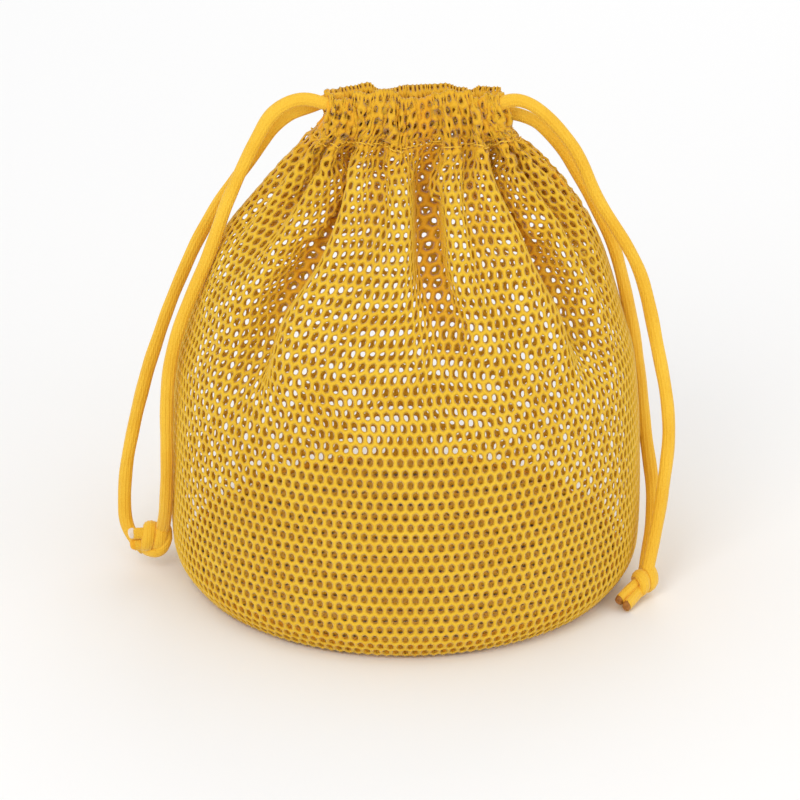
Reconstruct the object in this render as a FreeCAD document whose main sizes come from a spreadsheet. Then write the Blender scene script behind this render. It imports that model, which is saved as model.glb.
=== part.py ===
# Drawstring mesh laundry bag, standing, with its mouth gathered by two draw-cords.
#
# Frame: millimetres, +Z up, origin at the centre of the round bottom, where the bag
# stands.  The front of the bag faces -Y, its left side is -X.
#
# Pieces: a round mesh bottom in a seam ring, a mesh wall of a front and a rear panel
# joined by two side seams, a drawstring casing of a front and a rear half with a slit
# at each side, and two braided cords.  Each cord runs through both halves of the
# casing, turns round at the far slit and comes back, so that both its strands leave
# at its own slit and are tied together in one overhand knot with two short tails.
import FreeCAD, Part
import math
import os

V = FreeCAD.Vector
doc = FreeCAD.newDocument("mesh_laundry_bag")

# ---------------------------------------------------------------- driving sizes
sheet = doc.addObject("Spreadsheet::Sheet", "Sizes")
SIZES = [
    ("wall_gauge", 2.0, "thickness of the wall as a plain solid"),
    ("base_radius", 87.7, "where the wall meets the seam ring"),
    ("belly_radius", 95.0, "widest radius of the standing bag"),
    ("bottom_radius", 85.0, "round bottom panel inside the seam ring"),
    ("bottom_gauge", 2.0, "bottom panel and seam ring"),
    ("seam_width", 4.0, "side seam, along the wall"),
    ("wall_top", 186.0, "where the wall reaches the casing"),
    ("casing_low", 186.0, "lower edge of the casing"),
    ("casing_top", 206.0, "top edge of the gathered mouth"),
    ("casing_left", -32.8, "left end of the gathered casing"),
    ("casing_length", 70.6, "gathered width of the mouth"),
    ("casing_depth", 11.0, "half of the gathered mouth, front to back"),
    ("slit_half", 3.5, "half of the opening left between the two halves"),
    ("cloth_gauge", 1.2, "one layer of the casing"),
    ("channel_low", 192.8, "floor of the drawstring channel"),
    ("inner_left", -24.0, "left end of the casing's inner layer"),
    ("inner_length", 53.0, "length of the casing's inner layer"),
    ("stitch_gauge", 0.6, "stitching along the casing, proud of the cloth"),
    ("stitch_rise", 1.2, "height of the stitching line"),
    ("stitch_level", 189.0, "where the stitching runs"),
    ("cord_diameter", 4.4, "braided cord"),
    ("strand_offset", 7.3, "strand in its channel, from the middle plane"),
    ("left_level", 201.2, "height of the left cord in the channel"),
    ("right_level", 196.4, "height of the right cord in the channel"),
    ("pivot_gap", 0.3, "clearance where a hanging loop meets its run, at the slit"),
    ("knot_long", 9.5, "half length of a knot"),
    ("knot_short", 6.6, "half thickness of a knot"),
    ("tip_length", 2.4, "heat-sealed end of a tail"),
]
for i, (name, value, note) in enumerate(SIZES, start=1):
    sheet.set("A%d" % i, name)
    sheet.set("B%d" % i, repr(value))
    sheet.set("C%d" % i, note)
    sheet.setAlias("B%d" % i, name)
doc.recompute()
S = {name: float(sheet.get(name)) for name, _, _ in SIZES}

# the wall's sections: height, half width, half depth, middle
WALL = [
    (S["bottom_gauge"], "Sizes.base_radius", "Sizes.base_radius", 0.0),
    (12.0, "Sizes.belly_radius-0.8", "Sizes.belly_radius-0.8", 0.0),
    (31.0, "Sizes.belly_radius", "Sizes.belly_radius", 0.0),
    (61.0, "Sizes.belly_radius-0.6", "Sizes.belly_radius-0.6", 0.0),
    (92.0, "Sizes.belly_radius-3.3", "Sizes.belly_radius-4", 0.0),
    (112.0, "Sizes.belly_radius-8.9", "Sizes.belly_radius-11", 0.0),
    (132.0, "Sizes.belly_radius-16.7", "Sizes.belly_radius-22", 0.2),
    (148.0, "Sizes.belly_radius-22", "Sizes.belly_radius-34.5", 0.8),
    (162.0, "Sizes.belly_radius-31", "Sizes.belly_radius-50.5", 1.8),
    (174.0, "Sizes.belly_radius-39.5", "Sizes.belly_radius-67.5", 2.4),
    (S["wall_top"], "Sizes.belly_radius-49.5", "Sizes.belly_radius-82", 2.8),
]

done = {}


def keep(obj, node):
    """Names an object as one of the bag's pieces."""
    obj.Label = node
    done[node] = obj
    return obj


def box(name, lx, ly, lz, x, y, z):
    """A block whose sides and corner are expressions of the sheet."""
    b = doc.addObject("Part::Box", name)
    for prop, e in (("Length", lx), ("Width", ly), ("Height", lz),
                    (".Placement.Base.x", x), (".Placement.Base.y", y),
                    (".Placement.Base.z", z)):
        b.setExpression(prop, str(e))
    return b


def fuse(name, parts):
    f = doc.addObject("Part::MultiFuse", name)
    f.Shapes = parts
    return f


# ---------------------------------------------------------------- bottom
body = doc.addObject("PartDesign::Body", "BottomPanel")
plane = [p for p in body.Origin.OriginFeatures if p.Role == "XY_Plane"][0]
sk = body.newObject("Sketcher::SketchObject", "BottomOutline")
sk.AttachmentSupport = [(plane, "")]
sk.MapMode = "FlatFace"
import Sketcher
sk.addGeometry(Part.Circle(V(0, 0, 0), V(0, 0, 1), S["bottom_radius"]), False)
sk.addConstraint(Sketcher.Constraint("Coincident", 0, 3, -1, 1))
c = sk.addConstraint(Sketcher.Constraint("Radius", 0, S["bottom_radius"]))
sk.setExpression("Constraints[%d]" % c, "Sizes.bottom_radius")
pad = body.newObject("PartDesign::Pad", "BottomCloth")
pad.Profile = sk
pad.setExpression("Length", "Sizes.bottom_gauge")
keep(body, "bottom_panel")

# the ring of turned-in cloth where the wall is sewn to the bottom
body = doc.addObject("PartDesign::Body", "BottomSeam")
plane = [p for p in body.Origin.OriginFeatures if p.Role == "XY_Plane"][0]
sk = body.newObject("Sketcher::SketchObject", "SeamOutline")
sk.AttachmentSupport = [(plane, "")]
sk.MapMode = "FlatFace"
for k, (r, e) in enumerate(((S["base_radius"] + 0.3, "Sizes.base_radius+0.3"),
                            (S["bottom_radius"], "Sizes.bottom_radius"))):
    sk.addGeometry(Part.Circle(V(0, 0, 0), V(0, 0, 1), r), False)
    sk.addConstraint(Sketcher.Constraint("Coincident", k, 3, -1, 1))
    c = sk.addConstraint(Sketcher.Constraint("Radius", k, r))
    sk.setExpression("Constraints[%d]" % c, e)
pad = body.newObject("PartDesign::Pad", "SeamCloth")
pad.Profile = sk
pad.setExpression("Length", "Sizes.bottom_gauge")
keep(body, "bottom_seam")


# ---------------------------------------------------------------- wall
def loft(name, inset):
    """The wall's outer or inner form: a loft through its level sections."""
    rings = []
    for k, (z, a, b, cx) in enumerate(WALL):
        ring = doc.addObject("Part::Ellipse", "%s_%02d" % (name, k))
        ring.setExpression("MajorRadius", "%s-%s" % (a, inset))
        ring.setExpression("MinorRadius", "%s-%s" % (b, inset))
        ring.Placement = FreeCAD.Placement(V(cx, 0, z), FreeCAD.Rotation())
        rings.append(ring)
    lf = doc.addObject("Part::Loft", name)
    lf.Sections = rings
    lf.Solid = True
    lf.Ruled = False
    return lf


wall_out = loft("WallOuter", "0")
wall_in = loft("WallInner", "Sizes.wall_gauge")
shell = doc.addObject("Part::Cut", "WallShell")
shell.Base = wall_out
shell.Tool = wall_in

for node, x, y, lx, ly in (
        ("front_mesh_panel", "-120", "-120", "240", "120-Sizes.seam_width/2"),
        ("rear_mesh_panel", "-120", "Sizes.seam_width/2", "240", "120-Sizes.seam_width/2"),
        ("left_side_seam", "-120", "-Sizes.seam_width/2", "120", "Sizes.seam_width"),
        ("right_side_seam", "0", "-Sizes.seam_width/2", "120", "Sizes.seam_width")):
    part = doc.addObject("Part::Common", node + "_piece")
    part.Base = shell
    part.Tool = box(node + "_bounds", lx, ly, "240", x, y, "-10")
    keep(part, node)

# ---------------------------------------------------------------- casing
# A band of cloth turned down inside and sewn along its lower edge: an outer layer, a
# fold along the top, an inner layer and the sewn hem, around a channel for the cords.
# The inner layer stops short of the side slits, where each cord turns round.
for node, sign in (("front_casing", -1), ("rear_casing", 1)):
    def y_of(near, far):
        """Block side from `near` to `far` off the middle plane, on this half."""
        lo = near if sign > 0 else "-(%s)" % far
        return lo, "(%s)-(%s)" % (far, near)
    y, ly = y_of("Sizes.casing_depth-Sizes.cloth_gauge", "Sizes.casing_depth")
    outer = box(node + "_outer", "Sizes.casing_length", ly,
                "Sizes.casing_top-Sizes.casing_low", "Sizes.casing_left", y, "Sizes.casing_low")
    y, ly = y_of("Sizes.slit_half", "Sizes.slit_half+Sizes.cloth_gauge")
    inner = box(node + "_inner", "Sizes.inner_length", ly,
                "Sizes.casing_top-Sizes.casing_low", "Sizes.inner_left", y, "Sizes.casing_low")
    y, ly = y_of("Sizes.slit_half", "Sizes.casing_depth")
    top = box(node + "_fold", "Sizes.casing_length", ly, "Sizes.cloth_gauge",
              "Sizes.casing_left", y, "Sizes.casing_top-Sizes.cloth_gauge")
    hem = box(node + "_hem", "Sizes.casing_length", ly, "Sizes.channel_low-Sizes.casing_low",
              "Sizes.casing_left", y, "Sizes.casing_low")
    keep(fuse(node + "_cloth", [outer, inner, top, hem]), node)
    y, ly = y_of("Sizes.casing_depth", "Sizes.casing_depth+Sizes.stitch_gauge")
    keep(box(node + "_thread", "Sizes.casing_length-4", ly, "Sizes.stitch_rise",
             "Sizes.casing_left+2", y, "Sizes.stitch_level"), node + "_stitching")

# the hem of each side slit: it joins the two halves of the casing below the cords
for node, x in (("left_cord_opening", "Sizes.casing_left-Sizes.cloth_gauge"),
                ("right_cord_opening", "Sizes.casing_left+Sizes.casing_length")):
    plate = box(node + "_plate", "Sizes.cloth_gauge", "2*Sizes.casing_depth",
                "Sizes.casing_top-Sizes.casing_low", x, "-Sizes.casing_depth", "Sizes.casing_low")
    window = box(node + "_window", "Sizes.cloth_gauge+2", "2*Sizes.casing_depth-2.4",
                 "12.4", x + "-1", "-Sizes.casing_depth+1.2", "Sizes.channel_low-0.4")
    cut = doc.addObject("Part::Cut", node + "_hem")
    cut.Base = plate
    cut.Tool = window
    keep(cut, node)


# ---------------------------------------------------------------- cords
def rounded(points):
    """Straight runs joined by tangent arcs, each as large as its two runs allow."""
    pts = [V(*p) for p in points]
    radii, edges, here = [], [], pts[0]
    for i in range(1, len(pts) - 1):
        a, b, c = pts[i - 1], pts[i], pts[i + 1]
        u, w = (a - b), (c - b)
        run = min(u.Length, w.Length)
        u.normalize()
        w.normalize()
        turn = math.pi - math.acos(max(-1.0, min(1.0, u.dot(w))))
        cut = 0.45 * run
        r = cut / math.tan(turn / 2)
        radii.append((round(r, 1), round(math.degrees(turn))))
        start, stop = b + u * cut, b + w * cut
        bis = u + w
        bis.normalize()
        centre = b + bis * (r / math.cos(turn / 2))
        mid = centre - bis * r
        edges.append(Part.LineSegment(here, start).toShape())
        edges.append(Part.Arc(start, mid, stop).toShape())
        here = stop
    edges.append(Part.LineSegment(here, pts[-1]).toShape())
    return Part.Wire(edges), radii


def tube(name, wire):
    """A round cord along a wire: a circle of the cord's diameter swept along it."""
    spine = doc.addObject("Part::Feature", name + "_route")
    spine.Shape = wire
    ring = doc.addObject("Part::Circle", name + "_section")
    ring.setExpression("Radius", "Sizes.cord_diameter/2")
    first = wire.OrderedEdges[0]
    t = first.tangentAt(first.FirstParameter)
    ring.Placement = FreeCAD.Placement(wire.OrderedVertexes[0].Point,
                                       FreeCAD.Rotation(V(0, 0, 1), t))
    sweep = doc.addObject("Part::Sweep", name + "_sweep")
    sweep.Sections = [ring]
    sweep.Spine = (spine, ["Edge%d" % (k + 1) for k in range(len(wire.Edges))])
    sweep.Solid = True
    sweep.Frenet = False
    return sweep


def half_ball(name, centre, direction):
    """The rounded end of a hanging strand, bulging along `direction`."""
    b = doc.addObject("Part::Sphere", name)
    b.setExpression("Radius", "Sizes.cord_diameter/2")
    b.Angle1 = 0
    b.Angle2 = 90
    b.Placement = FreeCAD.Placement(V(*centre), FreeCAD.Rotation(V(0, 0, 1), V(*direction)))
    return b


def rod(name, x0, x1, y, z):
    """A straight length of cord along X."""
    r = doc.addObject("Part::Cylinder", name)
    r.setExpression("Radius", "Sizes.cord_diameter/2")
    r.Height = abs(x1 - x0)
    r.Placement = FreeCAD.Placement(V(min(x0, x1), y, z), FreeCAD.Rotation(V(0, 0, 1), V(1, 0, 0)))
    return r


R = S["cord_diameter"] / 2
OFF = S["strand_offset"]
GAP = S["pivot_gap"]

# Routes of the hanging strands, from the slit to the knot.
STRANDS = {
    "left_cord_front_strand": [
        (-36.5, -7.3, 201.2), (-43.8, -7.3, 201.2), (-50.8, -6.6, 196.9), (-55.2, -5.6, 189.4),
        (-60.4, -4.8, 179.2), (-67.8, -5.2, 166.6), (-76.2, -7.6, 151.6), (-83.2, -11.2, 135.4),
        (-89.8, -14.4, 117.4), (-94.6, -16.4, 98.4), (-97.0, -17.2, 78.6), (-97.9, -16.8, 58.4),
        (-98.2, -15.0, 39.6), (-100.2, -11.6, 25.2), (-103.4, -9.4, 15.4)],
    "left_cord_rear_strand": [
        (-36.5, 7.3, 201.2), (-43.8, 7.3, 201.2), (-51.2, 6.4, 197.3), (-56.4, 5.0, 189.6),
        (-61.6, 3.8, 179.4), (-68.8, 4.0, 166.4), (-79.6, 6.0, 150.2), (-88.4, 8.2, 132.4),
        (-94.8, 9.6, 114.6), (-101.0, 10.2, 95.6), (-106.4, 10.0, 76.4), (-110.6, 8.6, 58.2),
        (-113.8, 6.0, 41.0), (-114.6, 2.2, 26.6), (-111.6, -2.4, 16.6), (-106.4, -6.0, 13.2)],
    "right_cord_front_strand": [
        (41.5, -7.3, 196.4), (49.0, -7.3, 196.4), (56.4, -7.6, 192.6), (62.2, -8.0, 185.4),
        (67.2, -8.5, 176.4), (71.6, -9.0, 166.4), (77.8, -9.6, 154.6), (86.4, -10.2, 141.8),
        (93.0, -10.8, 127.4), (97.4, -11.6, 110.6), (101.2, -12.6, 92.8), (104.3, -14.4, 75.2),
        (105.4, -17.2, 59.0), (104.4, -20.8, 44.4), (102.6, -25.2, 31.0), (101.6, -29.6, 20.6),
        (100.4, -33.0, 13.2)],
    "right_cord_rear_strand": [
        (41.5, 7.3, 196.4), (49.0, 7.3, 196.4), (55.8, 6.8, 191.9), (60.8, 5.8, 184.0),
        (65.6, 5.0, 174.2), (70.4, 4.6, 163.6), (76.6, 4.6, 151.8), (84.2, 5.0, 138.8),
        (90.6, 5.4, 124.0), (94.6, 5.4, 106.8), (96.9, 4.8, 88.8), (98.6, 1.6, 71.2),
        (99.8, -5.0, 55.4), (100.3, -12.8, 41.8), (99.6, -20.2, 29.4), (98.4, -25.0, 20.0),
        (97.8, -28.0, 13.4)],
}
# Knots: middle and the direction of the long axis; tails: each route to its sealed end.
KNOTS = {
    "left": ((-105.2, -8.0, 13.0), (-1.0, -0.15, 0.05)),
    "right": ((98.4, -32.2, 9.4), (-0.62, -0.72, -0.12)),
}
TAILS = {
    "left": [[(-108.0, -10.2, 14.6), (-112.4, -12.4, 15.6), (-117.4, -13.6, 14.6)],
             [(-107.6, -9.6, 10.4), (-111.6, -12.6, 7.2), (-116.4, -14.6, 5.6)]],
    "right": [[(94.4, -36.4, 9.6), (90.0, -41.0, 8.4), (85.2, -45.2, 7.6)],
              [(96.4, -38.0, 6.0), (93.4, -43.4, 4.0), (89.2, -48.6, 3.2)]],
}

for side, sx, mouth_end, level, far in (
        ("left", -1, S["casing_left"], S["left_level"], 1),
        ("right", 1, S["casing_left"] + S["casing_length"], S["right_level"], -1)):
    run_end = mouth_end + sx * S["cloth_gauge"]      # where the straight runs end, in the slit
    pivot = run_end + sx * (R + GAP)                 # where the hanging loop turns, in the slit
    inside = run_end - sx * 52.0                     # inner end of the sliding runs
    turn_x = (28.0 if far > 0 else -23.0)            # where the cord starts to turn round

    # the two straight runs that slide out of the channel
    rods = [rod("%s_run_%s" % (side, n), run_end, inside, y, level)
            for n, y in (("front", -OFF), ("rear", OFF))]
    runs = doc.addObject("Part::Compound", side + "_runs")
    runs.Links = rods
    keep(runs, side + "_cord_channel_runs")

    # the rest of the cord: on through both channels and round the far slit
    x0 = inside - sx * GAP
    u = Part.Wire([Part.LineSegment(V(x0, -OFF, level), V(turn_x, -OFF, level)).toShape(),
                   Part.Arc(V(turn_x, -OFF, level), V(turn_x + far * OFF, 0, level),
                            V(turn_x, OFF, level)).toShape(),
                   Part.LineSegment(V(turn_x, OFF, level), V(x0, OFF, level)).toShape()])
    keep(tube(side + "_far_turn", u), side + "_cord_far_turn")

    # the two hanging strands
    for n in ("front", "rear"):
        node = "%s_cord_%s_strand" % (side, n)
        route = STRANDS[node]
        wire, radii = rounded(route)
        assert abs(route[0][0] - pivot) < 0.01, (node, pivot)
        print(node, "length %.1f" % wire.Length, "radii,turns", radii)
        sweep = tube(node, wire)
        ball = half_ball(node + "_ball", route[0], (-sx, 0, 0))
        keep(fuse(node + "_fused", [sweep, ball]), node)

    # the knot, an oval lump, and its two tails with their sealed tips
    centre, axis = KNOTS[side]
    knot = doc.addObject("Part::Ellipsoid", side + "_knot_lump")
    knot.setExpression("Radius1", "Sizes.knot_short")
    knot.setExpression("Radius2", "Sizes.knot_long")
    knot.setExpression("Radius3", "Sizes.knot_short")
    knot.Placement = FreeCAD.Placement(V(*centre), FreeCAD.Rotation(V(1, 0, 0), V(*axis)))
    keep(knot, side + "_knot")
    tails, tips = [], []
    for k, route in enumerate(TAILS[side]):
        a, b = V(*route[-2]), V(*route[-1])
        back = (a - b).normalize() * S["tip_length"]
        stop = b + back
        wire, radii = rounded(route[:-1] + [(stop.x, stop.y, stop.z)])
        print(side, "tail", k, "length %.1f" % wire.Length, radii)
        tails.append(tube("%s_tail_%d" % (side, k), wire))
        tip = doc.addObject("Part::Cone", "%s_tip_%d" % (side, k))
        tip.setExpression("Radius1", "Sizes.cord_diameter/2")
        tip.setExpression("Radius2", "Sizes.cord_diameter/2-0.7")
        tip.setExpression("Height", "Sizes.tip_length")
        tip.Placement = FreeCAD.Placement(stop, FreeCAD.Rotation(V(0, 0, 1), b - stop))
        tips.append(tip)
    for node, parts in ((side + "_cord_tails", tails), (side + "_tail_tips", tips)):
        group = doc.addObject("Part::Compound", node + "_pair")
        group.Links = parts
        keep(group, node)

doc.recompute()

# ---------------------------------------------------------------- checks and files
for obj in doc.Objects:
    bad = [s for s in obj.State if s in ("Invalid", "Error")]
    if bad:
        raise SystemExit("%s is %s" % (obj.Label, bad))
for node, obj in done.items():
    shape = obj.Shape
    if shape.isNull() or not shape.isValid() or not shape.Solids:
        raise SystemExit("%s has no valid solid" % node)
area = math.pi * R * R
for node, route in STRANDS.items():
    wire, _ = rounded(route)
    want = area * wire.Length + 2.0 / 3.0 * math.pi * R ** 3
    print("%s volume %.1f, section x length %.1f" % (node, done[node].Shape.Volume, want))

os.makedirs("parts", exist_ok=True)
for node, obj in done.items():
    obj.Shape.exportStep("parts/%s.step" % node)
    bb = obj.Shape.BoundBox
    print("%-26s solids %d vol %9.1f  x %.1f..%.1f y %.1f..%.1f z %.1f..%.1f" % (
        node, len(obj.Shape.Solids), obj.Shape.Volume,
        bb.XMin, bb.XMax, bb.YMin, bb.YMax, bb.ZMin, bb.ZMax))
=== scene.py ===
# Mesh drawstring laundry bag: the visual model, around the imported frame.
import bpy, bmesh, math
import numpy as np
from mathutils import Vector, Matrix


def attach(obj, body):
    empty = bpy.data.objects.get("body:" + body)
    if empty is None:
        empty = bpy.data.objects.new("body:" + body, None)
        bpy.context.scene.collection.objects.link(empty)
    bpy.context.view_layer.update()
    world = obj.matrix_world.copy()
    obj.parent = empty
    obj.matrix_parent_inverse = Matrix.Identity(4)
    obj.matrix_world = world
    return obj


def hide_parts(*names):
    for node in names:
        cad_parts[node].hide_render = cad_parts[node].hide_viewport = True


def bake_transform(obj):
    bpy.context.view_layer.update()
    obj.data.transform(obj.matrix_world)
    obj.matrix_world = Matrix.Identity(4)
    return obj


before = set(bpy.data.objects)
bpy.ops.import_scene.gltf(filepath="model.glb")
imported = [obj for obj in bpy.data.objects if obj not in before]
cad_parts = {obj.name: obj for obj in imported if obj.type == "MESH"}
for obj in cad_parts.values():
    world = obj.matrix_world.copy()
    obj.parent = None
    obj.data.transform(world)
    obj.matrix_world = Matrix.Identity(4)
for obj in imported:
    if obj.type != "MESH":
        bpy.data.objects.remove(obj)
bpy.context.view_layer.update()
scene = bpy.context.scene
MM = 0.001

# ------------------------------------------------------------------ camera and light
EL, DIST, SCALE = math.radians(23.8), 2.0, 2485.0          # angle, metres, pixels a metre
view_dir = Vector((0, -math.cos(EL), math.sin(EL)))
up_dir = Vector((0, math.sin(EL), math.cos(EL)))
target = Vector((0, 0, 0.100))
aim = target + Vector((-5.5 / SCALE, 0, 0)) - up_dir * (62.5 / SCALE)
cam_data = bpy.data.cameras.new("camera")
cam_data.sensor_width = 36.0
cam_data.lens = SCALE * DIST / 800.0 * 36.0
cam_data.clip_start, cam_data.clip_end = 0.05, 30.0
cam = bpy.data.objects.new("camera", cam_data)
scene.collection.objects.link(cam)
cam.location = target + view_dir * DIST
cam.rotation_euler = (aim - cam.location).to_track_quat("-Z", "Y").to_euler()
scene.camera = cam


def area_light(name, at, size, power, colour=(1, 1, 1), to=(0, 0, 0.1)):
    d = bpy.data.lights.new(name, "AREA")
    d.shape, d.size, d.energy, d.color = "DISK", size, power, colour
    o = bpy.data.objects.new(name, d)
    scene.collection.objects.link(o)
    o.location = at
    o.rotation_euler = (Vector(to) - Vector(at)).to_track_quat("-Z", "Y").to_euler()
    return o


area_light("key", (-0.55, -1.25, 1.25), 0.8, 7)
area_light("fill", (1.15, -0.9, 0.65), 1.0, 2.5)
area_light("back", (0.25, 1.3, 1.0), 1.0, 3)
world = bpy.data.worlds.new("studio")
scene.world = world
world.use_nodes = True
world.node_tree.nodes["Background"].inputs["Color"].default_value = (1, 1, 1, 1)
world.node_tree.nodes["Background"].inputs["Strength"].default_value = 0.84

scene.view_settings.view_transform = "Standard"


# ------------------------------------------------------------------ helpers
def curve_through(xk, yk, x):
    """Monotone cubic through the knots."""
    xk, yk = np.asarray(xk, float), np.asarray(yk, float)
    h = np.diff(xk)
    d = np.diff(yk) / h
    m = np.zeros_like(yk)
    m[1:-1] = np.where(d[:-1] * d[1:] > 0, 2 * d[:-1] * d[1:] / (d[:-1] + d[1:] + 1e-12), 0)
    m[0], m[-1] = d[0], d[-1]
    x = np.clip(x, xk[0], xk[-1])
    i = np.clip(np.searchsorted(xk, x, side="right") - 1, 0, len(h) - 1)
    t = (x - xk[i]) / h[i]
    return ((2 * t**3 - 3 * t**2 + 1) * yk[i] + (t**3 - 2 * t**2 + t) * h[i] * m[i]
            + (-2 * t**3 + 3 * t**2) * yk[i + 1] + (t**3 - t**2) * h[i] * m[i + 1])


def smooth(e0, e1, x):
    t = np.clip((np.asarray(x, float) - e0) / (e1 - e0), 0, 1)
    return t * t * (3 - 2 * t)


def mesh_from(name, verts, faces, mat=None, smooth_shade=True):
    """A mesh object from arrays, in metres; faces is a list or an (n, k) array."""
    me = bpy.data.meshes.new(name)
    verts = np.asarray(verts, np.float32)
    if isinstance(faces, np.ndarray):
        n, k = faces.shape
        me.vertices.add(len(verts))
        me.vertices.foreach_set("co", verts.ravel())
        me.loops.add(n * k)
        me.loops.foreach_set("vertex_index", faces.astype(np.int32).ravel())
        me.polygons.add(n)
        me.polygons.foreach_set("loop_start", np.arange(0, n * k, k, dtype=np.int32))
        me.update(calc_edges=True)
        me.validate()
    else:
        me.from_pydata([tuple(map(float, v)) for v in verts], [], [tuple(map(int, f)) for f in faces])
        me.update()
    me.polygons.foreach_set("use_smooth", np.full(len(me.polygons), smooth_shade))
    ob = bpy.data.objects.new(name, me)
    scene.collection.objects.link(ob)
    if mat is not None:
        me.materials.append(mat)
    return ob


# ------------------------------------------------------------------ the draped cloth
# Millimetres.  The wall is one cloth, 597 mm round and 229 mm tall, sewn to the round
# bottom below and gathered on the two cords above.  u runs round it from the left slit
# over the front to the right slit and back; v runs up it from the bottom seam.
PERI, TALL = 597.0, 229.0
NU, NV = 320, 100
ZT = np.array([1.5, 12, 31, 61, 92, 112, 132, 148, 162, 174, 186, 194, 201, 207.])
AT = np.array([87.6, 94.2, 95, 94.4, 91.9, 86.4, 79.9, 73.0, 63.6, 54.6, 44.2, 40.0, 39.6, 38.6])
BT = np.array([87.6, 94.2, 95, 94.4, 91.3, 84.5, 73.5, 60.5, 44.5, 28.5, 16.0, 13.0, 11.6, 6.6])
CT = np.array([0, 0, 0, 0, 0, .3, 1.0, 2.2, 3.4, 4.0, 4.4, 4.2, 3.4, 3.0])
# valleys between the folds: place round the bag at three heights, depth, height where
# it has died out
VALLEYS = [(.045, .040, .035, .3, 142), (.100, .085, .070, .5, 138), (.154, .143, .112, 1., 98),
           (.212, .205, .195, .45, 134), (.2575, .268, .288, 1., 108), (.305, .318, .335, .4, 124),
           (.354, .392, .418, 1., 104), (.405, .440, .452, .55, 126), (.458, .474, .480, .3, 142),
           (.515, .520, .525, .45, 140), (.562, .552, .548, .9, 112), (.618, .604, .590, .4, 128),
           (.668, .672, .665, 1., 104), (.722, .726, .735, .4, 134), (.776, .782, .795, 1., 110),
           (.834, .845, .858, .45, 124), (.884, .902, .918, 1., 106), (.945, .955, .962, .4, 138)]


def profile(z):
    return curve_through(ZT, AT, z), curve_through(ZT, BT, z), curve_through(ZT, CT, z)


def roundness(z):
    return 2 + 0.9 * smooth(165, 195, z)


def outline(t, z):
    a, b, c = profile(z)
    n = roundness(z)
    cs, sn = np.cos(2 * np.pi * t), np.sin(2 * np.pi * t)
    return c - a * np.sign(cs) * np.abs(cs) ** (2 / n), -b * np.sign(sn) * np.abs(sn) ** (2 / n)


def valley(t, z):
    w0, w1 = smooth(127, 156, z), smooth(156, 186, z)
    tv = np.array([v[2] + (v[1] - v[2]) * w0 + (v[0] - v[1]) * w1 for v in VALLEYS])
    wt = np.array([v[3] * smooth(v[4] - 8, v[4] + 40, z) for v in VALLEYS])
    wt = np.maximum(wt, smooth(165, 185, z) * 0.8 * np.array([v[3] for v in VALLEYS]))
    out = np.zeros_like(t)
    n = len(tv)
    for i in range(n):
        lo, hi = (tv[i] - tv[i - 1]) % 1, (tv[(i + 1) % n] - tv[i]) % 1
        d = (t - tv[i] + .5) % 1 - .5
        x = np.where(d < 0, -d / (lo / 2), d / (hi / 2))
        out += wt[i] * np.cos(np.pi / 2 * np.clip(x, 0, 1)) ** 2.6
    return out


def narrowing(z):
    """How far the honeycomb closes up sideways where the cloth is gathered."""
    return 1 - .03 * smooth(70, 130, z) - .05 * smooth(130, 165, z) - .06 * smooth(175, 200, z)


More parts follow.
